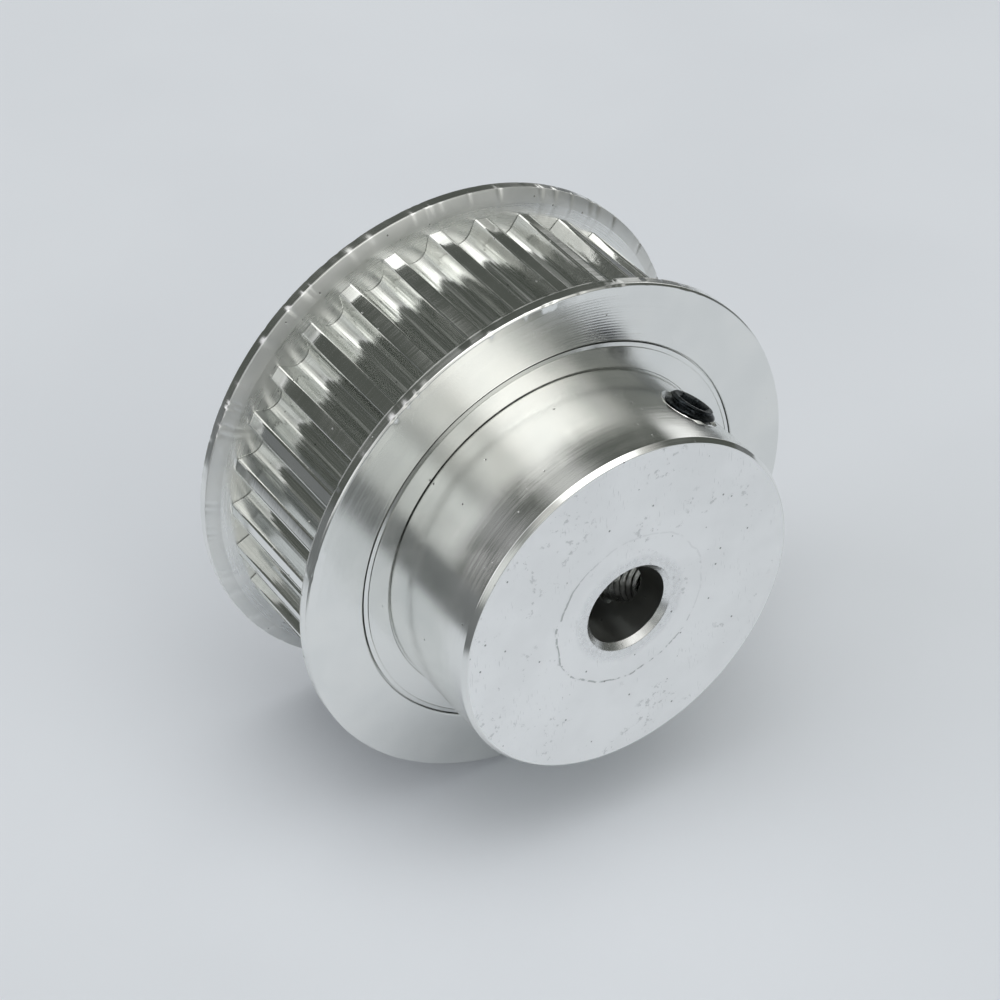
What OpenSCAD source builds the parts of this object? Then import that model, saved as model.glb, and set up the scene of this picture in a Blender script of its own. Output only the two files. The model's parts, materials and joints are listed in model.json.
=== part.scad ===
// Flanged timing belt pulley with a hub on one side, clamped to its shaft by two set screws.
// The bore runs along Y. The origin is on the bore's axis, half way between the flanges, where
// the middle of the belt runs. The hub points towards -Y and the screws' angles start at +Z.

/* [Belt teeth] */
// Number of teeth
tooth_count = 30; // [28:1:40]
// Belt pitch, from one tooth to the next on the pitch line
belt_pitch = 5; // [4.8:0.1:5.4]
// Distance between the flanges, for a 15 mm belt
tooth_width = 15.8; // [10:0.1:30]
// Depth of a tooth groove below the tips
groove_depth = 2.13; // [1.8:0.01:2.4]
// Radius of a groove's round bottom
groove_r = 1.38; // [1.37:0.01:1.42]
// Height of a groove's straight walls, from its round bottom up to the tooth tips
wall_height = 0.95; // [0.9:0.01:1]
// Half the width of a groove at the foot of its straight walls
foot_half_width = 1.36; // [1.34:0.01:1.36]
// Half the width of a groove at its mouth, between the tooth tips
mouth_half_width = 1.95; // [1.9:0.01:2]
// Width of the bevel between a straight wall and the tooth tip
tip_bevel_width = 0.28; // [0.2:0.02:0.3]
// Height of the bevel between a straight wall and the tooth tip
tip_bevel_height = 0.2; // [0.1:0.02:0.3]
// Angle from +Z to the first groove, towards +X
first_groove_angle = 3; // [0:0.5:12]

/* [Flanges] */
// Height of a flange above the tooth tips
flange_height = 2.4; // [1.6:0.1:4]
// Thickness of a flange
flange_thickness = 1.75; // [1.2:0.05:3]
// Width of the flared band along the rim, on the belt's side
flare_width = 1.2; // [0.4:0.1:1.5]
// How far the flared band leans away from the belt
flare_depth = 0.6; // [0.1:0.05:0.8]
// Bevel on the outer edge of the rim
rim_bevel = 0.15; // [0.05:0.05:0.3]
// Bevel on the mouth of the flange's hole
flange_hole_bevel = 0.1; // [0.05:0.05:0.3]

/* [Hub and bore] */
// Diameter of the hub
hub_diameter = 34.5; // [26:0.5:36]
// Length of the hub beyond the front flange
hub_length = 12.1; // [10:0.1:25]
// Width of the bevel on the hub's end, across the end face
hub_bevel_width = 0.3; // [0.1:0.05:0.8]
// Length of the bevel on the hub's end, along the hub
hub_bevel_length = 0.5; // [0.1:0.05:0.8]
// Diameter of the shaft bore
bore_diameter = 8; // [5:0.5:12]
// Bevel at both mouths of the bore
bore_bevel = 0.55; // [0.2:0.05:0.8]
// Width of the shoulder ring between the hub and a flange
shoulder_width = 2.75; // [2:0.05:3.5]
// Width of the groove rolled into the shoulder to hold a flange
rolled_width = 0.5; // [0.2:0.05:0.8]
// Depth of the rolled groove
rolled_depth = 0.4; // [0.2:0.05:0.8]

/* [Set screws] */
// Thread diameter of a set screw
screw_diameter = 5; // [4:1:6]
// Thread pitch of a set screw
screw_pitch = 0.8; // [0.7:0.1:1]
// Length of a set screw
screw_length = 10; // [8:1:11]
// Turns that are left before a screw touches the shaft
screw_turns_open = 5; // [4:1:6]
// Distance from the hub's end face to the screws' axes
screw_setback = 5.8; // [4:0.1:7]
// Angle from +Z to the first screw, towards +X
screw_angle = 35; // [0:5:90]
// Angle between the two screws
screw_spacing = 90; // [70:5:120]
// Width across the flats of the hexagon socket
hex_width = 2.5; // [2:0.1:2.8]
// Depth of the hexagon socket
hex_depth = 2.8; // [1.5:0.1:4]
// Gap between a screw and its hole, measured on the radius
thread_gap = 0.05; // [0.02:0.01:0.1]
// Bevel at the mouth of a tapped hole
hole_bevel = 0.4; // [0.2:0.05:0.6]

/* [Hidden] */
$fn = 96;

// Spare length for the cutting shapes
clear = 1;

// Distance from the pitch line down to the tooth tips, the same for every size of this belt
tip_below_pitch_line = 0.5715;
tip_r = belt_pitch * tooth_count / (2 * PI) - tip_below_pitch_line;
flange_r = tip_r + flange_height;
hub_r = hub_diameter / 2;
bore_r = bore_diameter / 2;
shoulder_r = hub_r + shoulder_width;

// Places along the bore, measured towards the hub's end
front_face = tooth_width / 2 + flange_thickness;
hub_end = front_face + hub_length;

// Set screw: its tip stops short of the shaft by a whole number of turns
screw_r = screw_diameter / 2 - thread_gap;
screw_tip = bore_r + screw_turns_open * screw_pitch;
screw_place = hub_end - screw_setback;
screw_top_bevel = 0.45;
cone_length = 0.9;
cup_r = 1.25;
cup_depth = 0.6;
// Distance from the middle of a hexagon to its corners
hex_corner_r = hex_width / 2 / cos(30);

// Lay a shape that was drawn upright along the bore, with its top towards the hub's end
module along_bore() {
    rotate([90, 0, 0]) children();
}

// Stand a shape on a screw's axis, with the bore's axis at its foot
module on_screw_axis(turn) {
    translate([0, -screw_place, 0]) rotate([0, screw_angle + turn, 0]) children();
}

// One tooth groove at the top of the rim: a round bottom, straight leaning walls and a bevelled mouth
module groove_outline() {
    foot = foot_half_width;
    mouth = mouth_half_width;
    wall_top = mouth - tip_bevel_width;
    translate([0, tip_r - groove_depth + groove_r]) circle(r = groove_r);
    polygon([
        [-foot, tip_r - wall_height],
        [foot, tip_r - wall_height],
        [wall_top, tip_r - tip_bevel_height],
        [mouth, tip_r],
        [mouth, tip_r + clear],
        [-mouth, tip_r + clear],
        [-mouth, tip_r],
        [-wall_top, tip_r - tip_bevel_height]
    ]);
}

// The ring of teeth, between the flanges
module toothed_ring() {
    linear_extrude(height = tooth_width, center = true) difference() {
        circle(r = tip_r);
        circle(r = shoulder_r - clear);
        for (i = [0 : tooth_count - 1])
            rotate(-first_groove_angle - i * 360 / tooth_count) groove_outline();
    }
}

// The core that carries the teeth: rear shoulder, front shoulder, hub and bore
module turned_core() {
    rotate_extrude() polygon([
        [bore_r, -front_face + bore_bevel],
        [bore_r + bore_bevel, -front_face],
        [shoulder_r - rolled_width, -front_face],
        [shoulder_r, -front_face + rolled_depth],
        [shoulder_r, front_face - rolled_depth],
        [shoulder_r - rolled_width, front_face],
        [hub_r, front_face],
        [hub_r, hub_end - hub_bevel_length],
        [hub_r - hub_bevel_width, hub_end],
        [bore_r + bore_bevel, hub_end],
        [bore_r, hub_end - bore_bevel]
    ]);
}

// A tapped hole from the bore out through the hub, bevelled at its mouth
module tapped_hole() {
    hole_r = screw_diameter / 2;
    cylinder(r = hole_r, h = hub_r + clear);
    translate([0, 0, hub_r - hole_bevel])
        cylinder(r1 = hole_r, r2 = hole_r + hole_bevel + clear, h = hole_bevel + clear);
}

module pulley_body() {
    color([0.80, 0.81, 0.82]) difference() {
        along_bore() union() {
            toothed_ring();
            turned_core();
        }
        on_screw_axis(0) tapped_hole();
        on_screw_axis(screw_spacing) tapped_hole();
    }
}

// A flange ring, lying on its belt side, with its rim flared away from the belt
module flange_ring() {
    rotate_extrude() polygon([
        [shoulder_r, 0],
        [flange_r - flare_width, 0],
        [flange_r, flare_depth],
        [flange_r, flange_thickness - rim_bevel],
        [flange_r - rim_bevel, flange_thickness],
        [shoulder_r + flange_hole_bevel, flange_thickness],
        [shoulder_r, flange_thickness - flange_hole_bevel]
    ]);
}

module front_flange() {
    color([0.84, 0.85, 0.85]) along_bore() translate([0, 0, tooth_width / 2]) flange_ring();
}

module rear_flange() {
    color([0.76, 0.78, 0.78]) along_bore() mirror([0, 0, 1])
        translate([0, 0, tooth_width / 2]) flange_ring();
}

// A socket set screw standing on its tip: a short cone with a cup in it, and a hexagon socket
module set_screw() {
    difference() {
        rotate_extrude() polygon([
            [0, cup_depth],
            [cup_r, 0],
            [screw_r - cone_length, 0],
            [screw_r, cone_length],
            [screw_r, screw_length - screw_top_bevel],
            [screw_r - screw_top_bevel, screw_length],
            [0, screw_length]
        ]);
        translate([0, 0, screw_length - hex_depth])
            cylinder(r = hex_corner_r, h = hex_depth + clear, $fn = 6);
    }
}

module upper_set_screw() {
    color([0.13, 0.14, 0.15]) on_screw_axis(0) translate([0, 0, screw_tip]) set_screw();
}

module lower_set_screw() {
    color([0.16, 0.17, 0.18]) on_screw_axis(screw_spacing) translate([0, 0, screw_tip]) set_screw();
}

pulley_body();
front_flange();
rear_flange();
upper_set_screw();
lower_set_screw();
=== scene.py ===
import json
import math
import random

import bmesh
import bpy
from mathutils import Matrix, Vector


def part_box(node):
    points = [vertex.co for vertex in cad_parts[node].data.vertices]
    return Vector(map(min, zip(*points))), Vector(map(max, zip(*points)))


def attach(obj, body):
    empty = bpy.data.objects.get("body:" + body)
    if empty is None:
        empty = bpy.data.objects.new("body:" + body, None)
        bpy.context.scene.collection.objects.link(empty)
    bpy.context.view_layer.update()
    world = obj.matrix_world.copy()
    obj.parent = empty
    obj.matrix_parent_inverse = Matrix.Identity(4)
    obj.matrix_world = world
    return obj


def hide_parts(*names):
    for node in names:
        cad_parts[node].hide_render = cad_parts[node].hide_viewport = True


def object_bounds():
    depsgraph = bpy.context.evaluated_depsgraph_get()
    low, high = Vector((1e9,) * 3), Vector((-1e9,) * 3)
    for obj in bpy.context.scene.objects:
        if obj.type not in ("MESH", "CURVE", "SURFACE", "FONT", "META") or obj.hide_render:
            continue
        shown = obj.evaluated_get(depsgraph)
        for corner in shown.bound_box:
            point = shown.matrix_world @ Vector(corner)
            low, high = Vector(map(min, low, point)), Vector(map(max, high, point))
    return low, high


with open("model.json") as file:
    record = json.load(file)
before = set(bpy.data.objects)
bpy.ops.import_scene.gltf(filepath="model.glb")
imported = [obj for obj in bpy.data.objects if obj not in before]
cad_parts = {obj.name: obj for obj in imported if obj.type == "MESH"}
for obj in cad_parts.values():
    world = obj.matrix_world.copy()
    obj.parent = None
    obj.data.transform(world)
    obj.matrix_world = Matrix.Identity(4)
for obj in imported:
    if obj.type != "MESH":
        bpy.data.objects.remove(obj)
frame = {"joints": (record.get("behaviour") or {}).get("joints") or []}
cad_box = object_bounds()

# Lengths below are millimetres and angles are degrees, until point() makes metres of them.
# A place on the pulley is (radius, turn, along): turn is measured from +Z towards +X, and along
# is the distance from the belt's middle towards the hub's end, so along grows towards -Y.
MM = 0.001

# ---------------------------------------------------------------- sizes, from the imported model


def lowest(node, axis):
    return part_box(node)[0][axis] / MM


def highest(node, axis):
    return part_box(node)[1][axis] / MM


X, Y, Z = 0, 1, 2
HUB_END = -lowest("pulley_body", Y)
FRONT_FACE = -lowest("front_flange", Y)
HALF_BELT = -highest("front_flange", Y)
FLANGE_R = highest("front_flange", X)
FLANGE_THICKNESS = FRONT_FACE - HALF_BELT
SCREW_PLACE = -(lowest("upper_set_screw", Y) + highest("upper_set_screw", Y)) / 2
JOINT_AXES = {joint["child"]: joint["axis"] for joint in frame["joints"]}
SCREW_TURNS = {
    body: math.degrees(math.atan2(JOINT_AXES[body][X], JOINT_AXES[body][Z]))
    for body in ("upper_screw", "lower_screw")
}

# ---------------------------------------------------------------- sizes repeated from part.scad
TOOTH_COUNT = 30
BELT_PITCH = 5
TIP_BELOW_PITCH_LINE = 0.5715
TIP_R = BELT_PITCH * TOOTH_COUNT / (2 * math.pi) - TIP_BELOW_PITCH_LINE
GROOVE_DEPTH = 2.13
GROOVE_R = 1.38
# Half the width of a groove at its mouth
GROOVE_MOUTH = 1.95
# Turn of the first groove's middle
FIRST_GROOVE = 3
FLARE_WIDTH = 1.2
FLARE_DEPTH = 0.6
RIM_BEVEL = 0.15
FLANGE_HOLE_BEVEL = 0.1
HUB_R = 17.25
HUB_BEVEL_WIDTH = 0.3
HUB_BEVEL_LENGTH = 0.5
BORE_R = 4
BORE_BEVEL = 0.55
SHOULDER_WIDTH = 2.75
SHOULDER_R = HUB_R + SHOULDER_WIDTH
ROLLED_WIDTH = 0.5
ROLLED_DEPTH = 0.4
SCREW_LENGTH = 10
SCREW_PITCH = 0.8
SCREW_TURNS_OPEN = 5
SCREW_TIP = BORE_R + SCREW_TURNS_OPEN * SCREW_PITCH
SCREW_TOP_BEVEL = 0.45
SCREW_CONE = 0.9
CUP_R = 1.25
CUP_DEPTH = 0.6
HEX_FLATS = 2.5
HEX_DEPTH = 2.8
HOLE_BEVEL = 0.4
# Radius of a tapped hole, out to the root of its thread
MAJOR_R = 2.5

# ---------------------------------------------------------------- points and surfaces

# Share of the sides beside a corner that its curve may take
CURVE_SHARE = 0.4
# How far beyond its end a curve's extra point stands, as a share of the curve's cut
GUARD_SHARE = 0.2
# Points closer than this are one point
WELD_DISTANCE = 0.0005
# Faces that meet at a greater angle than this have a sharp edge between them
SHARP_ANGLE = 32


def point(radius, turn, along):
    angle = math.radians(turn)
    return Vector((radius * math.sin(angle), -along, radius * math.cos(angle))) * MM


def lerp(a, b, share):
    return a + (b - a) * share


def evenly(first, last, count):
    """Count + 1 values from first to last."""
    return [lerp(first, last, i / count) for i in range(count + 1)]


def rounded(outline, cut, steps=3):
    """The outline with each corner between its ends cut back by cut and bent in a smooth curve. A point
    just beyond each curve keeps the long sides flat when they are shaded."""
    corners = [Vector(corner) for corner in outline]
    made = [corners[0]]
    for before, corner, after in zip(corners, corners[1:], corners[2:]):
        back = min(cut, (before - corner).length * CURVE_SHARE, (after - corner).length * CURVE_SHARE)
        start = corner + (before - corner).normalized() * back
        end = corner + (after - corner).normalized() * back
        made.append(start + (before - corner).normalized() * back * GUARD_SHARE)
        for share in evenly(0, 1, steps):
            made.append(start.lerp(corner, share).lerp(corner.lerp(end, share), share))
        made.append(end + (after - corner).normalized() * back * GUARD_SHARE)
    made.append(corners[-1])
    return [tuple(corner) for corner in made]


class Skin:
    """The points and faces of one piece. A row is a list of point numbers that goes once round."""

    def __init__(self):
        self.points = []
        self.faces = []
        self.finishes = []

    def row(self, points):
        first = len(self.points)
        self.points.extend(points)
        return list(range(first, len(self.points)))

    def face(self, corners, finish):
        self.faces.append(corners)
        self.finishes.append(finish)

    def strip(self, row, other, finish):
        """Four-sided faces between two rows with equal numbers of points."""
        for i, corner in enumerate(row):
            self.face((row[i - 1], corner, other[i], other[i - 1]), finish)

    def stitch(self, row, other, finish):
        """Triangles between two rows with different numbers of points, both starting at the same turn."""
        done, other_done = 0, 0
        while done < len(row) or other_done < len(other):
            a, b = row[done % len(row)], other[other_done % len(other)]
            if (done + 1) * len(other) <= (other_done + 1) * len(row):
                done += 1
                self.face((a, row[done % len(row)], b), finish)
            else:
                other_done += 1
                self.face((a, other[other_done % len(other)], b), finish)

    def lathe(self, outline, segments, finish, shift=None):
        """Turned rows along an outline of (radius, along) points; gives back the first and last row.
        shift(radius, turn, along) may move a point, and returns its new radius and along."""
        rows = []
        for radius, along in outline:
            row = []
            for i in range(segments):
                turn = 360 * i / segments
                place = shift(radius, turn, along) if shift else (radius, along)
                row.append(point(place[0], turn, place[1]))
            rows.append(self.row(row))
            if len(rows) > 1:
                self.strip(rows[-2], rows[-1], finish)
        return rows[0], rows[-1]


def build(name, skin, materials, body, node, flat_finishes=()):
    """Makes the piece that stands for a CAD node: welds the skin, turns its faces outwards and adds
    its materials, one for each finish. The faces of a flat finish are shaded flat."""
    mesh = bpy.data.meshes.new(name)
    mesh.from_pydata(skin.points, [], skin.faces)
    mesh.polygons.foreach_set("material_index", skin.finishes)
    welded = bmesh.new()
    welded.from_mesh(mesh)
    bmesh.ops.remove_doubles(welded, verts=welded.verts, dist=WELD_DISTANCE * MM)
    bmesh.ops.recalc_face_normals(welded, faces=welded.faces)
    welded.to_mesh(mesh)
    welded.free()
    mesh.shade_smooth()
    mesh.set_sharp_from_angle(angle=math.radians(SHARP_ANGLE))
    for face in mesh.polygons:
        face.use_smooth = face.material_index not in flat_finishes
    for material in materials:
        mesh.materials.append(material)
    piece = bpy.data.objects.new(name, mesh)
    bpy.context.scene.collection.objects.link(piece)
    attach(piece, body)
    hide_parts(node)
    return piece


# ---------------------------------------------------------------- screw threads

# Points round a tapped hole or a screw, and the height of a row of faces on a thread
HOLE_POINTS = 96
ROW_HEIGHT = 0.1
INNER_THREAD_DEPTH = 0.36
# The screws' thread leaves a gap in the holes' thread all round
OUTER_THREAD_R = 2.38
OUTER_THREAD_DEPTH = 0.47
# Shares of half a pitch: the flat root, and the slope from root to crest
THREAD_ROOT = 0.2
THREAD_SLOPE = 0.6
# Rounds of the search for a mouth's height
MOUTH_ROUNDS = 12


def ridge(height, around):
    """How far a hole's right-hand thread stands into the hole there: 0 at its root, 1 at its crest."""
    phase = (height / SCREW_PITCH + around / 360) % 1
    wave = 1 - abs(2 * phase - 1)
    return min(1, max(0, (wave - THREAD_ROOT) / THREAD_SLOPE))


def hole_r(height, around):
    """Radius of a tapped hole at a height above the bore's axis, with the bevel at its mouth."""
    bevel = MAJOR_R + height - (HUB_R - HOLE_BEVEL)
    return max(MAJOR_R - INNER_THREAD_DEPTH * ridge(height, around), bevel)


def mouth(tube_r, around):
    """Where a tapped hole's wall meets a tube: the hole's radius, and the height above the bore's
    axis. Each depends on the other, so they are found in rounds."""
    height = tube_r
    for _ in range(MOUTH_ROUNDS):
        radius = hole_r(height, around)
        across = radius * math.cos(math.radians(around))
        height = math.sqrt(tube_r**2 - across**2)
    return radius, height


def hole_point(turn, radius, around, height):
    """A point beside a screw's axis. Around is measured from the way that turn grows, towards the
    hub's end."""
    across = radius * math.cos(math.radians(around))
    along = SCREW_PLACE + radius * math.sin(math.radians(around))
    return point(math.hypot(height, across), turn + math.degrees(math.atan2(across, height)), along)


# ---------------------------------------------------------------- pulley body

HUB_SEGMENTS = 360
BORE_SEGMENTS = 120
# Cut on the edges of the hub, the bore and the faces
EDGE_CUT = 0.08
# Width of the ring round a bore's mouth that has the bore's segments, and of the seam to the hub's
MOUTH_RING = 1
MOUTH_SEAM = 0.5
# Width of the smoothly cut ring on the hub's end face, beside its bevel
SMOOTH_RING = 0.12

# Facets across a groove's round floor, and the narrowest and widest of them before they are scaled
GROOVE_FACETS = 15
FACET_SPREAD = (0.6, 1.4)
FACET_SEED = 7
WALL_LEAN = 20
# Cut on a tooth's corners and its steps, and the steps across half of a tooth's tip
TIP_CUT = 0.21
TIP_CUT_STEPS = 4
TIP_STEPS = 3
# Gap and bevel between the ends of the teeth and the flanges, and the rows of faces along a tooth
END_GAP = 0.06
END_BEVEL = 0.05
TOOTH_ROWS = 8
# How far the teeth's flat ends reach down towards the shoulder, measured from the shoulder
END_REACH = 0.5

# Rows of cells between a tapped hole and an end of its tube, and rings round the hole's mouth
END_ROWS = 3
MOUTH_RINGS = 7
BURR_LOWEST = 0.03
BURR_RISE = 0.12
FINISH_TURNED, FINISH_END, FINISH_MILLED, FINISH_TAPPED, FINISH_TIP, FINISH_BORED = range(6)


def burr(around):
    """Height of the burr that the tap left round a hole's mouth in the hub. Two waves break it up."""
    wave = math.sin(math.radians(5 * around + 40)) * math.sin(math.radians(8 * around + 100))
    return BURR_LOWEST + BURR_RISE * max(0, wave)


def drilled_tube(skin, tube_r, segments, half_columns, half_rows, cell, ends, finish, lip=None):
    """A tube's wall as a grid, whose cells have a height of cell beside the tapped holes. Around each
    hole, a block of cells gives way to rings that shrink from the block's outline to the hole's
    mouth. The block reaches half_columns and half_rows each way from the hole's axis, and has
    HOLE_POINTS points on its outline. Lip(around) raises the mouth's edge. Gives back the mouths."""
    middle = [SCREW_PLACE + cell * i for i in range(-half_rows, half_rows + 1)]
    places = [
        *evenly(ends[0], middle[0], END_ROWS)[:-1],
        *middle,
        *evenly(middle[-1], ends[1], END_ROWS)[1:],
    ]
    first_row = places.index(middle[0])
    step = 360 / segments
    grid = [skin.row([point(tube_r, i * step, along) for i in range(segments)]) for along in places]
    centres = [round(turn / step) for turn in SCREW_TURNS.values()]

    def drilled(row, column):
        beside = any((column - centre + half_columns) % segments < 2 * half_columns for centre in centres)
        return beside and first_row <= row < first_row + 2 * half_rows

    for j in range(len(places) - 1):
        for i in range(segments):
            if not drilled(j, i):
                after = (i + 1) % segments
                skin.face((grid[j][i], grid[j][after], grid[j + 1][after], grid[j + 1][i]), finish)

    right = [(half_columns, j) for j in range(-half_rows, half_rows)]
    top = [(i, half_rows) for i in range(half_columns, -half_columns, -1)]
    left = [(-half_columns, j) for j in range(half_rows, -half_rows, -1)]
    bottom = [(i, -half_rows) for i in range(-half_columns, half_columns)]
    outline = right[half_rows:] + top + left + bottom + right[:half_rows]
    mouths = []
    for turn, centre in zip(SCREW_TURNS.values(), centres):
        row = [grid[first_row + half_rows + j][(centre + i) % segments] for i, j in outline]
        for share in evenly(0, 1, MOUTH_RINGS)[1:]:
            ring = []
            eased = share * (2 - share)
            for k, (i, j) in enumerate(outline):
                around = 360 * k / HOLE_POINTS
                radius = mouth(tube_r, around)[0]
                block_across = tube_r * math.sin(math.radians(i * step))
                across = lerp(block_across, radius * math.cos(math.radians(around)), eased)
                beside = lerp(cell * j, radius * math.sin(math.radians(around)), eased)
                side = math.degrees(math.asin(across / tube_r))
                raised = lip(around) if lip and share == 1 else 0
                ring.append(point(tube_r + raised, turn + side, SCREW_PLACE + beside))
            after = skin.row(ring)
            skin.strip(row, after, finish)
            row = after
        mouths.append(row)
    return mouths


def tapped_wall(skin, turn, outer_row, inner_row):
    """The threaded wall of a tapped hole, from its mouth in the hub to its mouth in the bore."""
    rows = round((HUB_R - BORE_R) / ROW_HEIGHT)
    row = outer_row
    for j in range(1, rows):
        ring = []
        for k in range(HOLE_POINTS):
            around = 360 * k / HOLE_POINTS
            height = lerp(mouth(HUB_R, around)[1], mouth(BORE_R, around)[1], j / rows)
            ring.append(hole_point(turn, hole_r(height, around), around, height))
        after = skin.row(ring)
        skin.strip(row, after, FINISH_TAPPED)
        row = after
    skin.strip(row, inner_row, FINISH_TAPPED)


def tooth_outline():
    """One groove at the top of the rim with half a tooth on each side, as (across, up) points, and the
    finish of the stretch that ends at each point. The cutter left flat facets of uneven width."""
    draw = random.Random(FACET_SEED)
    widths = [draw.uniform(*FACET_SPREAD) for _ in range(GROOVE_FACETS)]
    swept = [sum(widths[:i]) / sum(widths) for i in range(1, GROOVE_FACETS)]
    turns = [lerp(180 + WALL_LEAN, 360 - WALL_LEAN, share) for share in (0, *swept, 1)]
    centre_up = TIP_R - GROOVE_DEPTH + GROOVE_R
    floor = [
        (GROOVE_R * math.cos(math.radians(turn)), centre_up + GROOVE_R * math.sin(math.radians(turn)))
        for turn in turns
    ]
    foot, foot_up = floor[-1]
    lean = math.tan(math.radians(WALL_LEAN))
    corner = foot + (TIP_R - foot_up) * lean
    half_pitch = 180 / TOOTH_COUNT
    tip_angle = math.radians(half_pitch)
    middle_of_tip = (TIP_R * math.sin(tip_angle), TIP_R * math.cos(tip_angle))
    flank = rounded([(foot, foot_up), (corner, TIP_R), middle_of_tip], TIP_CUT, TIP_CUT_STEPS)[1:]
    on_tip = [i for i, (across, up) in enumerate(flank) if across >= GROOVE_MOUTH][0]
    tip = flank[:on_tip] + [
        (TIP_R * math.sin(math.radians(turn)), TIP_R * math.cos(math.radians(turn)))
        for turn in evenly(math.degrees(math.asin(GROOVE_MOUTH / TIP_R)), half_pitch, TIP_STEPS)[:-1]
    ]
    left = [(-across, up) for across, up in reversed(tip)]
    points = [(-middle_of_tip[0], middle_of_tip[1])] + left + floor + tip
    finishes = [FINISH_TIP] * (len(left) + 1) + [FINISH_MILLED] * len(floor) + [FINISH_TIP] * len(tip)
    return points, finishes


def inset(outline, depth):
    """A closed outline moved into the metal by depth, along its normals. It runs from +Z towards +X."""
    made = []
    for i, (x, z) in enumerate(outline):
        before, after = outline[i - 1], outline[(i + 1) % len(outline)]
        way = Vector((after[0] - before[0], after[1] - before[1])).normalized()
        made.append((x + way.y * depth, z - way.x * depth))
    return made


def toothed_rows(skin, front_row, rear_row):
    """The teeth, with a fine bevel at their ends and a fine gap between the ends and the flanges."""
    one, one_finishes = tooth_outline()
    outline = []
    for i in range(TOOTH_COUNT):
        turn = math.radians(FIRST_GROOVE + 360 * i / TOOTH_COUNT)
        for across, up in one:
            x = across * math.cos(turn) + up * math.sin(turn)
            z = -across * math.sin(turn) + up * math.cos(turn)
            outline.append((x, z))
    start = next(i for i, (x, z) in enumerate(outline) if x >= 0)
    outline = outline[start:] + outline[:start]
    finishes = one_finishes * TOOTH_COUNT
    finishes = finishes[start:] + finishes[:start]
    end = HALF_BELT - END_GAP
    places = [end, *evenly(end - END_BEVEL, END_BEVEL - end, TOOTH_ROWS), -end]
    rows = []
    for along in places:
        shape = inset(outline, END_BEVEL) if abs(along) == end else outline
        rows.append(skin.row([Vector((x, -along, z)) * MM for x, z in shape]))
    for row, after in zip(rows, rows[1:]):
        for i, finish in enumerate(finishes):
            skin.face((row[i - 1], row[i], after[i], after[i - 1]), finish)
    base_r = SHOULDER_R + END_REACH
    for edge_row, side, shoulder_row in ((rows[0], end, front_row), (rows[-1], -end, rear_row)):
        base = skin.row([point(base_r, math.degrees(math.atan2(x, z)), side) for x, z in outline])
        skin.strip(edge_row, base, FINISH_TURNED)
        skin.stitch(shoulder_row, base, FINISH_TURNED)


def make_hub_end(skin):
    """The hub's end face, from the bore outwards, with the bevels on both its edges."""
    ring_r = BORE_R + BORE_BEVEL + MOUTH_RING
    _, ring_row = skin.lathe(
        rounded([
            (BORE_R, HUB_END - BORE_BEVEL),
            (BORE_R + BORE_BEVEL, HUB_END),
            (ring_r, HUB_END),
        ], EDGE_CUT),
        BORE_SEGMENTS, FINISH_END,
    )
    face_r = HUB_R - HUB_BEVEL_WIDTH - SMOOTH_RING
    face_row, _ = skin.lathe([(ring_r + MOUTH_SEAM, HUB_END), (face_r, HUB_END)], HUB_SEGMENTS, FINISH_END)
    skin.lathe(
        rounded([
            (face_r, HUB_END),
            (HUB_R - HUB_BEVEL_WIDTH, HUB_END),
            (HUB_R, HUB_END - HUB_BEVEL_LENGTH),
            (HUB_R, HUB_END - HUB_BEVEL_LENGTH - EDGE_CUT),
        ], EDGE_CUT),
        HUB_SEGMENTS, FINISH_TIP,
    )
    skin.stitch(ring_row, face_row, FINISH_END)


def undercut_outline():
    """Fine undercut at the root of the hub."""
    wide = 0.13
    deep = 0.35
    return [
        (HUB_R, FRONT_FACE),
        (HUB_R, FRONT_FACE - deep),
        (HUB_R + wide, FRONT_FACE - deep),
        (HUB_R + wide, FRONT_FACE - wide / 2),
        (HUB_R + wide * 1.5, FRONT_FACE),
    ]


def shoulder_outline():
    """The front shoulder's edge and wall. The ring of metal that was rolled against the flange has a
    fine slot on each side and sits a little low."""
    slot_wide = 0.07
    slot_deep = 0.14
    low_inner = 0.05
    low_outer = 0.1
    ring_inner = SHOULDER_R - ROLLED_WIDTH
    ring_outer = SHOULDER_R - slot_wide
    return [
        (ring_inner - slot_wide, FRONT_FACE),
        (ring_inner - slot_wide * 0.7, FRONT_FACE - slot_deep),
        (ring_inner, FRONT_FACE - slot_deep),
        (ring_inner + slot_wide * 0.3, FRONT_FACE - low_inner),
        (ring_outer - slot_wide, FRONT_FACE - low_outer),
        (ring_outer, FRONT_FACE - slot_deep - ROLLED_DEPTH),
        (SHOULDER_R, FRONT_FACE - slot_deep - ROLLED_DEPTH),
        (SHOULDER_R, HALF_BELT),
    ]


def make_rear_face(skin):
    """The rear shoulder, the rear face and the bore's mouth in it. Gives back the shoulder's row."""
    ring_r = BORE_R + BORE_BEVEL + MOUTH_RING
    shoulder = [(radius, -along) for radius, along in reversed(shoulder_outline())]
    shoulder_row, face_row = skin.lathe(
        shoulder + [(ring_r + MOUTH_SEAM, -FRONT_FACE)], HUB_SEGMENTS, FINISH_TURNED
    )
    ring_row, _ = skin.lathe(
        rounded([
            (ring_r, -FRONT_FACE),
            (BORE_R + BORE_BEVEL, -FRONT_FACE),
            (BORE_R, -FRONT_FACE + BORE_BEVEL),
        ], EDGE_CUT),
        BORE_SEGMENTS, FINISH_TURNED,
    )
    skin.stitch(face_row, ring_row, FINISH_TURNED)
    return shoulder_row


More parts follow.
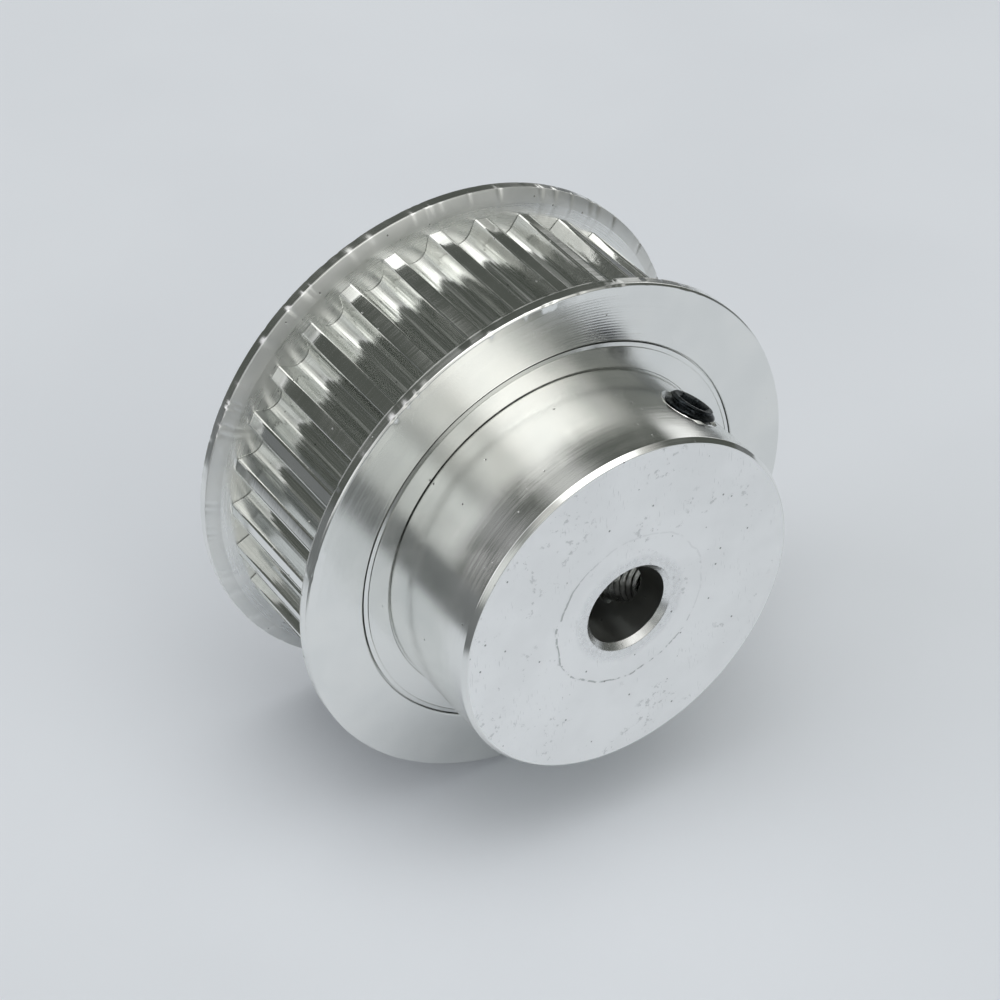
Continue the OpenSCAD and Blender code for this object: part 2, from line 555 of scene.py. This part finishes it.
def make_pulley_body(materials):
    skin = Skin()
    bore_mouths = drilled_tube(
        skin, BORE_R, BORE_SEGMENTS, half_columns=14, half_rows=10, cell=0.31,
        ends=(-FRONT_FACE + BORE_BEVEL, HUB_END - BORE_BEVEL), finish=FINISH_BORED,
    )
    hub_mouths = drilled_tube(
        skin, HUB_R, HUB_SEGMENTS, half_columns=12, half_rows=12, cell=0.3,
        ends=(FRONT_FACE, HUB_END - HUB_BEVEL_LENGTH - EDGE_CUT), finish=FINISH_TURNED, lip=burr,
    )
    for turn, outer_row, inner_row in zip(SCREW_TURNS.values(), hub_mouths, bore_mouths):
        tapped_wall(skin, turn, outer_row, inner_row)
    make_hub_end(skin)
    _, front_row = skin.lathe(undercut_outline() + shoulder_outline(), HUB_SEGMENTS, FINISH_TURNED)
    rear_row = make_rear_face(skin)
    toothed_rows(skin, front_row, rear_row)
    return build(
        "pulley_body_machined", skin, materials, "pulley", "pulley_body",
        flat_finishes=(FINISH_MILLED,),
    )


# ---------------------------------------------------------------- flanges

FLANGE_SEGMENTS = 900
# Width of the band on the outer face that has the rim's finish
RIM_BAND = 1
# Height above the belt side at which the rim's wall passes from the rim's finish to the flare's
RIM_MIDDLE = FLARE_DEPTH + 0.15
# Cuts on the outer face's edges and on the belt side's edges
FACE_CUT = 0.05
BELT_SIDE_CUT = 0.04
# How far a chip reaches across the edge that it is in, outside and on the belt's side
OUTER_REACH = 0.22
INNER_REACH = 0.15
# Shares of a chip's depth that a point moves, towards the bore's axis and along the bore
CHIP_INWARDS = 0.8
CHIP_SIDEWAYS = 0.6
FINISH_FACE, FINISH_RIM, FINISH_BELT_SIDE, FINISH_FLARE = range(4)


def nicks(seed, count, depth, width):
    """Small chips in a rim: their turns, depths and half widths in degrees."""
    draw = random.Random(seed)
    return [
        (draw.uniform(0, 360), draw.uniform(0.3, 1) * depth, draw.uniform(0.4, 1) * width)
        for _ in range(count)
    ]


def nick_depth(chips, turn):
    """Depth of the deepest chip at a turn."""
    deepest = 0
    for place, depth, half_width in chips:
        away = abs((turn - place + 180) % 360 - 180) / half_width
        if away < 1:
            deepest = max(deepest, depth * (1 - away**4))
    return deepest


def flange_outlines():
    """The four stretches of a flange's outline, as (radius, height above the belt side) points: outer
    face, rim, flared band and belt side, which also holds the hole's wall."""
    face = FLANGE_THICKNESS
    outer_face = rounded([
        (SHOULDER_R, FLARE_DEPTH),
        (SHOULDER_R, face - FLANGE_HOLE_BEVEL),
        (SHOULDER_R + FLANGE_HOLE_BEVEL, face),
        (FLANGE_R - RIM_BAND, face),
    ], FACE_CUT)
    rim = rounded([
        (FLANGE_R - RIM_BAND, face),
        (FLANGE_R - RIM_BEVEL, face),
        (FLANGE_R, face - RIM_BEVEL),
        (FLANGE_R, RIM_MIDDLE),
    ], FACE_CUT)
    flare = rounded([
        (FLANGE_R, RIM_MIDDLE),
        (FLANGE_R, FLARE_DEPTH),
        (FLANGE_R - FLARE_WIDTH, 0),
    ], BELT_SIDE_CUT)
    belt_side = rounded([
        (FLANGE_R - FLARE_WIDTH, 0),
        (SHOULDER_R, 0),
        (SHOULDER_R, FLARE_DEPTH),
    ], BELT_SIDE_CUT)
    return outer_face, rim, flare, belt_side


def make_flange(name, node, side, seed, materials):
    """A pressed-on flange ring. Side is 1 next to the hub and -1 at the far end of the teeth."""
    outer_chips = nicks(seed, count=70, depth=0.1, width=1.0)
    inner_chips = nicks(seed + 1, count=80, depth=0.12, width=0.8)

    def place(outline):
        return [(radius, side * (HALF_BELT + height)) for radius, height in outline]

    def chip(chips, centre_height, reach):
        """A shift for lathe() that dents an edge of the rim where it has a chip."""
        centre = side * (HALF_BELT + centre_height)
        sideways = CHIP_SIDEWAYS if centre_height > FLANGE_THICKNESS / 2 else -CHIP_SIDEWAYS

        def shift(radius, turn, along):
            near = max(0, 1 - math.hypot(radius - FLANGE_R, along - centre) / reach)
            depth = nick_depth(chips, turn) * near
            return radius - depth * CHIP_INWARDS, along - side * depth * sideways

        return shift

    skin = Skin()
    outer_face, rim, flare, belt_side = flange_outlines()
    outer_edge = chip(outer_chips, FLANGE_THICKNESS, OUTER_REACH)
    inner_edge = chip(inner_chips, FLARE_DEPTH, INNER_REACH)
    skin.lathe(place(outer_face), FLANGE_SEGMENTS, FINISH_FACE)
    skin.lathe(place(rim), FLANGE_SEGMENTS, FINISH_RIM, outer_edge)
    skin.lathe(place(flare), FLANGE_SEGMENTS, FINISH_FLARE, inner_edge)
    skin.lathe(place(belt_side), FLANGE_SEGMENTS, FINISH_BELT_SIDE)
    return build(name, skin, materials, "pulley", node)


# ---------------------------------------------------------------- set screws

# Shares of the cup's radius that its rows stand at
CUP_ROWS = (0.02, 0.5, 1)
# Smooth land between the top bevel and the socket, and the socket's bevelled mouth
LAND_RISE = 0.02
LAND_WIDTH = 0.08
SOCKET_MOUTH = 0.12
SOCKET_EASE = 0.03
SOCKET_STRAIGHT = 0.2
# The drill's point at the bottom of the socket
DRILL_POINT_R = 0.02
DRILL_POINT_DEPTH = 0.4
FINISH_THREAD, FINISH_SOCKET = range(2)


def screw_wall_r(height, around):
    """Radius of a set screw's threaded wall, with the bevel at its top and the cone at its tip."""
    thread = OUTER_THREAD_R - OUTER_THREAD_DEPTH * ridge(height, around)
    below_top = SCREW_TIP + SCREW_LENGTH - height
    above_tip = height - SCREW_TIP
    return min(
        thread, OUTER_THREAD_R - SCREW_TOP_BEVEL + below_top, OUTER_THREAD_R - SCREW_CONE + above_tip
    )


def hexagon_r(around):
    return HEX_FLATS / 2 / math.cos(math.radians((around + 30) % 60 - 30))


def make_set_screw(name, body, node, materials):
    """A socket set screw: a cup point, a threaded wall, and a bevelled end with a hexagon socket."""
    turn = SCREW_TURNS[body]
    top = SCREW_TIP + SCREW_LENGTH
    skin = Skin()

    def ring(radius_at, height):
        arounds = [360 * k / HOLE_POINTS for k in range(HOLE_POINTS)]
        return skin.row([hole_point(turn, radius_at(around), around, height) for around in arounds])

    def circle(radius, height):
        return ring(lambda around: radius, height)

    def thread(height):
        return ring(lambda around: screw_wall_r(height, around), height)

    def hexagon(grow, height):
        return ring(lambda around: hexagon_r(around) + grow, height)

    wall_rows = round(SCREW_LENGTH / ROW_HEIGHT)
    rows = [circle(CUP_R * share, SCREW_TIP + CUP_DEPTH * (1 - share)) for share in CUP_ROWS]
    rows += [thread(height) for height in evenly(SCREW_TIP, top, wall_rows)]
    rows.append(circle(OUTER_THREAD_R - SCREW_TOP_BEVEL - LAND_WIDTH, top + LAND_RISE))
    socket_start = len(rows)
    rows.append(circle(hexagon_r(30) + SOCKET_MOUTH, top))
    rows.append(hexagon(SOCKET_EASE, top - SOCKET_MOUTH))
    rows.append(hexagon(0, top - SOCKET_STRAIGHT))
    rows.append(hexagon(0, top - HEX_DEPTH))
    rows.append(circle(DRILL_POINT_R, top - HEX_DEPTH - DRILL_POINT_DEPTH))
    for j, (row, after) in enumerate(zip(rows, rows[1:])):
        skin.strip(row, after, FINISH_SOCKET if j >= socket_start else FINISH_THREAD)
    skin.face(rows[0], FINISH_THREAD)
    skin.face(rows[-1], FINISH_SOCKET)
    return build(name, skin, materials, body, node)


# ---------------------------------------------------------------- materials


def add(tree, kind, inputs=(), **settings):
    """A node with its settings. Each input is a constant or the socket that it is linked to."""
    made = tree.nodes.new(kind)
    for name, value in settings.items():
        setattr(made, name, value)
    for key, value in dict(inputs).items():
        if isinstance(value, bpy.types.NodeSocket):
            tree.links.new(value, made.inputs[key])
        else:
            made.inputs[key].default_value = value
    return made


class Paint:
    """One procedural material. Its patterns are laid out in millimetres on the object."""

    def __init__(self, name, **constants):
        self.material = bpy.data.materials.new(name)
        self.material.use_nodes = True
        self.tree = self.material.node_tree
        self.shader = self.tree.nodes["Principled BSDF"]
        for key, value in constants.items():
            self.shader.inputs[key.replace("_", " ")].default_value = value
        coordinates = add(self.tree, "ShaderNodeTexCoord")
        from_metres = {0: coordinates.outputs["Object"], "Scale": 1 / MM}
        scaled = add(self.tree, "ShaderNodeVectorMath", from_metres, operation="SCALE")
        self.place = scaled.outputs[0]
        split = add(self.tree, "ShaderNodeSeparateXYZ", {0: self.place})
        self.x, self.y, self.z = split.outputs
        x_squared = self.math("MULTIPLY", self.x, self.x)
        z_squared = self.math("MULTIPLY", self.z, self.z)
        self.radius = self.math("SQRT", self.math("ADD", x_squared, z_squared))

    def math(self, operation, a, b=0.0):
        return add(self.tree, "ShaderNodeMath", {0: a, 1: b}, operation=operation).outputs[0]

    def vector(self, x, y, z):
        return add(self.tree, "ShaderNodeCombineXYZ", {0: x, 1: y, 2: z}).outputs[0]

    def noise(self, vector, scale, detail=2.0, roughness=0.5, w=None):
        inputs = {"Vector": vector, "Scale": scale, "Detail": detail, "Roughness": roughness}
        if w is not None:
            inputs["W"] = w
        kind = "4D" if w is not None else "3D"
        return add(self.tree, "ShaderNodeTexNoise", inputs, noise_dimensions=kind).outputs["Fac"]

    def span(self, value, low, high, to_low=0.0, to_high=1.0, kind="SMOOTHSTEP"):
        """Value from low to high, brought to the span from to_low to to_high."""
        inputs = {"Value": value, "From Min": low, "From Max": high, "To Min": to_low, "To Max": to_high}
        return add(self.tree, "ShaderNodeMapRange", inputs, interpolation_type=kind).outputs[0]

    def mix(self, share, a, b):
        """Colour a, with a share of colour b."""
        made = add(self.tree, "ShaderNodeMix", data_type="RGBA")
        for key, value in (("Factor", share), ("A", a), ("B", b)):
            wanted = "VALUE" if key == "Factor" else "RGBA"
            socket = next(s for s in made.inputs if s.name == key and s.type == wanted)
            if isinstance(value, bpy.types.NodeSocket):
                self.tree.links.new(value, socket)
            else:
                socket.default_value = value
        return next(s for s in made.outputs if s.type == "RGBA")

    def turned(self, pitch, changes=0.5):
        """Marks that run round the bore's axis, a pitch apart. Changes is how often they vary on the
        way round."""
        safe = self.math("MAXIMUM", self.radius, 0.01)
        vector = self.vector(
            self.math("DIVIDE", self.radius, pitch),
            self.math("MULTIPLY", self.math("DIVIDE", self.x, safe), changes),
            self.math("MULTIPLY", self.math("DIVIDE", self.z, safe), changes),
        )
        return self.noise(vector, 1.0, 2.0, 0.6, self.math("DIVIDE", self.y, pitch))

    def lengthwise(self, pitch, length):
        """Marks that run along the bore, a pitch apart and about a length long."""
        vector = self.vector(
            self.math("DIVIDE", self.x, pitch),
            self.math("DIVIDE", self.y, length),
            self.math("DIVIDE", self.z, pitch),
        )
        return self.noise(vector, 1.0, 2.0, 0.6)

    def pits(self, spacing, size, share):
        """Small scattered dots, a spacing apart, of which a share is kept: 1 in a dot, 0 between them."""
        cells = add(self.tree, "ShaderNodeTexVoronoi", {"Vector": self.place, "Scale": 1 / spacing})
        dot = self.span(cells.outputs["Distance"], 0.5 * size / spacing, size / spacing, 1.0, 0.0)
        kept = self.math("LESS_THAN", cells.outputs["Color"], share)
        return self.math("MULTIPLY", dot, kept)

    def scratches(self, width, length, turn, amount):
        """Fine straight scratches in one direction, here and there."""
        mapping = add(self.tree, "ShaderNodeMapping", {
            "Vector": self.place,
            "Rotation": tuple(math.radians(a) for a in turn),
            "Scale": (1 / width, 1 / length, 1 / length),
        })
        lines = self.span(self.noise(mapping.outputs[0], 1.0, 1.0, 0.5), 0.78 - amount, 0.84 - amount)
        return self.math("MULTIPLY", lines, self.span(self.noise(self.place, 0.3, 1.0), 0.5, 0.62))

    def scuffs(self, size, amount):
        """Faint ragged marks, gathered in patches."""
        marks = self.span(self.noise(self.place, 1 / size, 4.0, 0.7), 0.66 - amount, 0.72 - amount)
        return self.math("MULTIPLY", marks, self.span(self.noise(self.place, 0.22, 2.0), 0.5, 0.6))

    def ring(self, radius, width, wander):
        """A thin line round the bore's axis that strays from its radius: 1 on the line."""
        stray = self.span(self.noise(self.place, 0.35, 3.0), 0.3, 0.7, -wander, wander, "LINEAR")
        off_radius = self.math("SUBTRACT", self.radius, radius)
        away = self.math("ABSOLUTE", self.math("SUBTRACT", off_radius, stray))
        return self.span(away, width / 2, width, 1.0, 0.0)

    def chatter(self, pitch, turn, spread):
        """Even rings, a pitch apart, that fade out on both sides of one turn."""
        angle = self.math("ARCTAN2", self.x, self.z)
        rings = self.math("SINE", self.math("MULTIPLY", self.radius, 2 * math.pi / pitch))
        away = self.math("ABSOLUTE", self.math("SUBTRACT", angle, math.radians(turn)))
        return self.math("MULTIPLY", rings, self.span(away, 0.0, math.radians(spread), 1.0, 0.0))

    def bump(self, layers):
        """Bump from (height, distance in mm, strength) layers."""
        normal = None
        for height, distance, strength in layers:
            inputs = {"Height": height, "Distance": distance * MM, "Strength": strength}
            if normal is not None:
                inputs["Normal"] = normal
            normal = add(self.tree, "ShaderNodeBump", inputs).outputs[0]
        self.tree.links.new(normal, self.shader.inputs["Normal"])

    def distance_from(self, x, nearest_y, farthest_y):
        """Distance on the floor from a line that runs along Y, from nearest_y to farthest_y."""
        beyond = self.math("MAXIMUM", self.math("SUBTRACT", self.y, farthest_y), 0.0)
        before = self.math("MAXIMUM", self.math("SUBTRACT", nearest_y, self.y), 0.0)
        away = self.vector(self.math("SUBTRACT", self.x, x), self.math("ADD", beyond, before), 0.0)
        return add(self.tree, "ShaderNodeVectorMath", {0: away}, operation="LENGTH").outputs["Value"]

    def set(self, name, value):
        """Links a pattern to one of the shader's inputs."""
        self.tree.links.new(value, self.shader.inputs[name])


def colour(red, green, blue):
    return (red, green, blue, 1.0)


# Metal in the shade of a pit, and metal dulled by a scuff
PIT = colour(0.14, 0.145, 0.14)
SCUFF = colour(0.45, 0.46, 0.455)


def turned_aluminium(name, roughness, mark_depth, stretch=0.0, pale=0.87, ripples=()):
    """Metal from a lathe. Stretch is how much its round marks draw a reflection out across them, pale
    is how bright it is, and ripples is the pitch, turn and spread of a patch of chatter."""
    paint = Paint(name, Metallic=1.0, Anisotropic=stretch, Anisotropic_Rotation=0.25)
    if stretch:
        tangent = add(paint.tree, "ShaderNodeTangent", direction_type="RADIAL", axis="Y")
        paint.set("Tangent", tangent.outputs[0])
    fine = paint.turned(pitch=0.1)
    coarse = paint.turned(pitch=0.55, changes=1.5)
    blotch = paint.noise(paint.place, 0.25, 3.0)
    pits = paint.pits(spacing=1.3, size=0.12, share=0.42)
    long_scratches = paint.scratches(width=0.06, length=2.2, turn=(20, 35, 50), amount=0.02)
    short_scratches = paint.scratches(width=0.05, length=1.4, turn=(70, 10, 110), amount=0.02)
    scratch = paint.math("MAXIMUM", long_scratches, short_scratches)
    darker = colour(pale - 0.04, pale - 0.03, pale - 0.045)
    lighter = colour(pale + 0.01, pale + 0.015, pale - 0.005)
    shade = paint.mix(paint.span(blotch, 0.3, 0.7), darker, lighter)
    shade = paint.mix(paint.math("MULTIPLY", scratch, 0.35), shade, SCUFF)
    paint.set("Base Color", paint.mix(paint.math("MULTIPLY", pits, 0.8), shade, PIT))
    rough = paint.span(fine, 0.3, 0.7, roughness - 0.03, roughness + 0.04)
    rough = paint.math("ADD", rough, paint.span(blotch, 0.45, 0.7, 0.0, 0.06))
    rough = paint.math("ADD", rough, paint.math("MULTIPLY", scratch, 0.12))
    paint.set("Roughness", paint.math("ADD", rough, paint.math("MULTIPLY", pits, 0.3)))
    layers = [
        (fine, 0.01, mark_depth), (coarse, 0.03, mark_depth), (scratch, 0.01, 0.4), (pits, -0.05, 0.5),
    ]
    if ripples:
        layers.append((paint.chatter(*ripples), 0.004, 0.6))
    paint.bump(layers)
    return paint.material


def scuffed_aluminium(name):
    """The hub's end face: satin, with a burnished ring round the bore, a circular score and scuffs."""
    paint = Paint(name, Metallic=1.0)
    grain = paint.noise(paint.place, 2.2, 4.0, 0.65)
    blotch = paint.noise(paint.place, 0.16, 3.0)
    pits = paint.pits(spacing=1.7, size=0.13, share=0.35)
    scratch = paint.scratches(width=0.07, length=1.1, turn=(0, 40, 0), amount=0.1)
    scuffs = paint.math("MAXIMUM", paint.scuffs(size=0.9, amount=0.08), scratch)
    low_left = paint.span(paint.math("ADD", paint.x, paint.z), -4.0, 6.0, 1.0, 0.2)
    broken = paint.span(paint.noise(paint.place, 1.5, 3.0), 0.4, 0.52)
    whole_score = paint.ring(radius=7.8, width=0.12, wander=0.2)
    score = paint.math("MULTIPLY", whole_score, paint.math("MULTIPLY", broken, low_left))
    near_bore = paint.span(paint.radius, 5.2, 6.0, 1.0, 0.0)
    worn = paint.math("MULTIPLY", near_bore, paint.span(grain, 0.3, 0.7, 0.4, 1.0))
    shade = paint.mix(paint.span(blotch, 0.35, 0.65), colour(0.90, 0.905, 0.90), colour(0.945, 0.95, 0.945))
    shade = paint.mix(paint.math("MULTIPLY", worn, 0.6), shade, colour(0.68, 0.69, 0.69))
    shade = paint.mix(paint.math("MULTIPLY", scuffs, 0.45), shade, SCUFF)
    shade = paint.mix(paint.math("MULTIPLY", score, 0.8), shade, SCUFF)
    paint.set("Base Color", paint.mix(paint.math("MULTIPLY", pits, 0.75), shade, PIT))
    rough = paint.span(grain, 0.3, 0.7, 0.3, 0.4)
    paint.set("Roughness", paint.math("SUBTRACT", rough, paint.math("MULTIPLY", worn, 0.12)))
    paint.bump([
        (grain, 0.01, 0.25), (paint.turned(pitch=0.12), 0.006, 0.15), (scuffs, -0.015, 0.4),
        (score, -0.04, 0.5), (pits, -0.05, 0.5),
    ])
    return paint.material


def milled_aluminium(name):
    """The tooth grooves: fine streaks along the cut, with small dark pits and rough bright specks."""
    paint = Paint(name, Metallic=1.0)
    streaks = paint.lengthwise(pitch=0.1, length=7.0)
    broad = paint.lengthwise(pitch=0.9, length=9.0)
    pits = paint.pits(spacing=0.9, size=0.12, share=0.3)
    specks = paint.pits(spacing=1.1, size=0.1, share=0.22)
    shade = paint.mix(paint.span(streaks, 0.35, 0.65), colour(0.74, 0.755, 0.735), colour(0.86, 0.87, 0.85))
    shade = paint.mix(paint.math("MULTIPLY", pits, 0.8), shade, PIT)
    paint.set("Base Color", shade)
    rough = paint.span(streaks, 0.3, 0.7, 0.1, 0.16)
    paint.set("Roughness", paint.math("ADD", rough, paint.math("MULTIPLY", specks, 0.5)))
    paint.bump([(streaks, 0.006, 0.5), (broad, 0.03, 0.4), (specks, 0.05, 0.8)])
    return paint.material


def black_oxide(name):
    """The screws' dull black coat, a little uneven."""
    paint = Paint(name, Metallic=1.0)
    grain = paint.noise(paint.place, 6.0, 3.0)
    shade = paint.mix(paint.span(grain, 0.35, 0.7), colour(0.014, 0.018, 0.02), colour(0.045, 0.05, 0.054))
    paint.set("Base Color", shade)
    paint.set("Roughness", paint.span(grain, 0.3, 0.7, 0.25, 0.45))
    paint.bump([(grain, 0.01, 0.5)])
    return paint.material


def make_materials():
    """The materials of each kind of piece, in the order of its finishes."""
    hub = turned_aluminium("aluminium_turned", roughness=0.16, mark_depth=0.1, stretch=0.7)
    end = scuffed_aluminium("aluminium_hub_end")
    milled = milled_aluminium("aluminium_milled")
    # The tapped holes' walls are coloured darker than the turned metal: painted shade inside the holes.
    tapped = turned_aluminium("aluminium_tapped_painted_shade", roughness=0.28, mark_depth=0.2, pale=0.66)
    tip = turned_aluminium("aluminium_smooth_cut", roughness=0.1, mark_depth=0.3)
    # The bore's wall is coloured darker still: painted shade inside the bore.
    bored = turned_aluminium("aluminium_bored_painted_shade", roughness=0.32, mark_depth=0.2, pale=0.52)
    flange_face = turned_aluminium(
        "flange_face", roughness=0.18, mark_depth=0.12, stretch=0.7, ripples=(0.28, 12, 14)
    )
    rim = turned_aluminium("flange_rim", roughness=0.15, mark_depth=0.3)
    belt_side = turned_aluminium("flange_belt_side", roughness=0.28, mark_depth=0.06)
    flare = turned_aluminium("flange_flare", roughness=0.42, mark_depth=0.3, pale=0.82)
    steel = black_oxide("black_oxide")
    return {
        "body": [hub, end, milled, tapped, tip, bored],
        "flange": [flange_face, rim, belt_side, flare],
        "screw": [steel, steel],
    }


# ---------------------------------------------------------------- floor, light and camera

# Half the floor's side
FLOOR_HALF = 3000
# The floor is pale near the object and dark further out. The change comes at a distance, with a soft edge,
# from a line along Y.
PALE_AREA_LINE_X = 40
PALE_AREA_LINE_ENDS = (-50, 60)
PALE_AREA_FADES = (103, 123)


def make_floor():
    """The floor under the flanges: pale near the object and dark further out, which the metal mirrors."""
    mesh = bpy.data.meshes.new("floor")
    side = FLOOR_HALF * MM
    low = -FLANGE_R * MM
    corners = [(x * side, y * side, low) for x, y in ((-1, -1), (1, -1), (1, 1), (-1, 1))]
    mesh.from_pydata(corners, [], [(0, 1, 2, 3)])
    floor = bpy.data.objects.new("floor", mesh)
    bpy.context.scene.collection.objects.link(floor)
    paint = Paint("floor_card")
    mottle = paint.noise(paint.place, 0.02, 3.0)
    card = paint.mix(paint.span(mottle, 0.35, 0.65), colour(0.70, 0.73, 0.775), colour(0.72, 0.75, 0.795))
    beyond = paint.span(paint.distance_from(PALE_AREA_LINE_X, *PALE_AREA_LINE_ENDS), *PALE_AREA_FADES)
    paint.set("Base Color", paint.mix(beyond, card, colour(0.16, 0.17, 0.175)))
    paint.shader.inputs["Roughness"].default_value = 0.85
    paint.shader.inputs["Specular IOR Level"].default_value = 0.2
    paint.bump([(paint.noise(paint.place, 1.5, 3.0), 0.05, 0.15)])
    mesh.materials.append(paint.material)


def heading(azimuth, elevation):
    """A direction: azimuth from +Y towards +X, elevation above the horizon."""
    a, e = math.radians(azimuth), math.radians(elevation)
    return Vector((math.sin(a) * math.cos(e), math.cos(a) * math.cos(e), math.sin(e)))


# Each soft patch of light round the object: azimuth, elevation, radius, soft edge, brightness, tint
SOFT_LIGHTS = {
    "window_behind_camera": (165, 59, 22, 7, 0.6, (1.0, 0.99, 0.965)),
    "window_glow": (170, 55, 37, 10, 0.53, (1.0, 0.99, 0.965)),
    "camera_low": (166, -5, 32, 16, 0.35, (0.98, 1.0, 0.98)),
    "left_light": (-122, 14, 17, 8, 0.68, (0.98, 1.0, 1.0)),
    "camera_left": (-137, 35, 14, 8, 0.3, (0.98, 1.0, 0.99)),
    "overhead_lamp": (-21, 70, 18, 9, 1.0, (1.0, 1.0, 0.99)),
    "zenith": (150, 81, 22, 9, 1.27, (1.0, 1.0, 1.0)),
    "left_side": (-76, 36, 23, 8, 0.78, (1.0, 0.985, 1.03)),
    "left_low": (-78, 12, 16, 8, 1.0, (1.0, 0.985, 1.03)),
    "left_top": (-82, 70, 16, 8, 0.85, (1.0, 1.0, 1.0)),
    "right_top": (75, 70, 16, 6, 0.2, (1.0, 1.0, 1.0)),
    "right_side": (75, 40, 16, 6, 0.15, (1.0, 1.0, 1.0)),
    "right_low": (63, 12, 13, 6, 1.25, (1.0, 1.0, 1.0)),
}
# The dim room between the patches
ROOM = (0.085, 0.092, 0.082)


def make_world():
    """Light from all round: the room, with every soft patch added to it."""
    world = bpy.data.worlds.new("studio")
    bpy.context.scene.world = world
    world.use_nodes = True
    tree = world.node_tree
    direction = add(tree, "ShaderNodeTexCoord").outputs["Generated"]
    total = ROOM
    for azimuth, elevation, radius, edge, brightness, tint in SOFT_LIGHTS.values():
        directions = {0: direction, 1: heading(azimuth, elevation)}
        aim = add(tree, "ShaderNodeVectorMath", directions, operation="DOT_PRODUCT")
        inside = add(tree, "ShaderNodeMapRange", {
            "Value": aim.outputs["Value"],
            "From Min": math.cos(math.radians(radius + edge)),
            "From Max": math.cos(math.radians(max(radius - edge, 0))),
        }, interpolation_type="SMOOTHSTEP")
        lit = add(tree, "ShaderNodeVectorMath", {
            0: [c * brightness for c in tint],
            "Scale": inside.outputs[0],
        }, operation="SCALE")
        total = add(tree, "ShaderNodeVectorMath", {0: total, 1: lit.outputs[0]}, operation="ADD").outputs[0]
    background = tree.nodes["Background"]
    tree.links.new(total, background.inputs["Color"])
    background.inputs["Strength"].default_value = 1.0


# The camera looks along this azimuth and this far below the horizon, from this distance
VIEW_AZIMUTH = 33.11
VIEW_DROP = 39.31
VIEW_DISTANCE = 252.36
# It aims this far beside and above the middle of the CAD box, as seen in the picture
AIM_RIGHT = -2.83
AIM_UP = 1.16
LENS = 99.58
CLIP_START = 10


def make_camera():
    forward = heading(VIEW_AZIMUTH, -VIEW_DROP)
    right = forward.cross(Vector((0, 0, 1))).normalized()
    up = right.cross(forward)
    low, high = cad_box
    aim = (low + high) / 2 + (right * AIM_RIGHT + up * AIM_UP) * MM
    camera = bpy.data.objects.new("camera", bpy.data.cameras.new("camera"))
    camera.data.lens = LENS
    camera.data.clip_start = CLIP_START * MM
    camera.location = aim - forward * VIEW_DISTANCE * MM
    camera.rotation_mode = "QUATERNION"
    camera.rotation_quaternion = forward.to_track_quat("-Z", "Y")
    bpy.context.scene.collection.objects.link(camera)
    bpy.context.scene.camera = camera


def make_everything():
    materials = make_materials()
    make_pulley_body(materials["body"])
    flange_metals = materials["flange"]
    make_flange("front_flange_ring", "front_flange", side=1, seed=11, materials=flange_metals)
    make_flange("rear_flange_ring", "rear_flange", side=-1, seed=23, materials=flange_metals)
    make_set_screw("upper_screw_threaded", "upper_screw", "upper_set_screw", materials["screw"])
    make_set_screw("lower_screw_threaded", "lower_screw", "lower_set_screw", materials["screw"])
    make_floor()
    make_world()
    make_camera()
    bpy.context.scene.view_settings.view_transform = "Standard"
    bpy.context.scene.cycles.use_denoising = True


make_everything()
